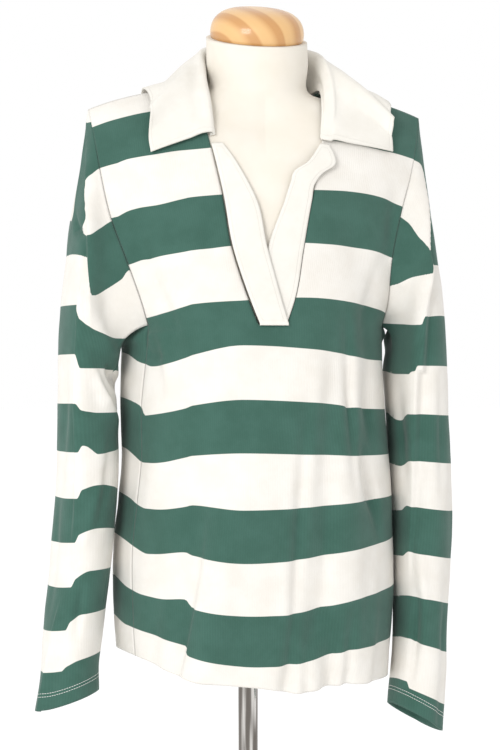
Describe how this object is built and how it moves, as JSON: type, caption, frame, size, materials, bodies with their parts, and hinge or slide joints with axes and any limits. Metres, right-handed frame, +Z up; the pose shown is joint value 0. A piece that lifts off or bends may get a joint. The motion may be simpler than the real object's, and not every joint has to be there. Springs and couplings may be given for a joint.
{
  "type": "polo shirt on a dress form",
  "caption": "Long-sleeved polo shirt in broad white and dark green stripes with an open V placket, worn on a limbless cream dress form on a metal pole.",
  "frame": {"origin": "on the floor under the axis of the pole, at the middle of the base's underside", "axes": "+Z up, -Y out of the shirt's front, +X to the viewer's right when facing the front"},
  "size_m": [0.466, 0.33, 1.5684],
  "materials": {
    "striped_knit": "matt knitted cotton in white and dark green stripes",
    "white_cotton": "matt woven cotton",
    "form_cover": "matt cream cloth over firm foam",
    "pine": "satin varnish",
    "chrome": "polished chrome plate",
    "base_metal": "satin plate"
  },
  "bodies": {
    "root": {"front": "striped_knit", "back": "striped_knit", "sleeve_right": "striped_knit", "sleeve_left": "striped_knit", "collar": "white_cotton", "placket_right": "white_cotton", "placket_left": "white_cotton", "form_torso": "form_cover", "neck_cap": "pine", "pole": "chrome", "base": "base_metal"}
  },
  "joints": []
}
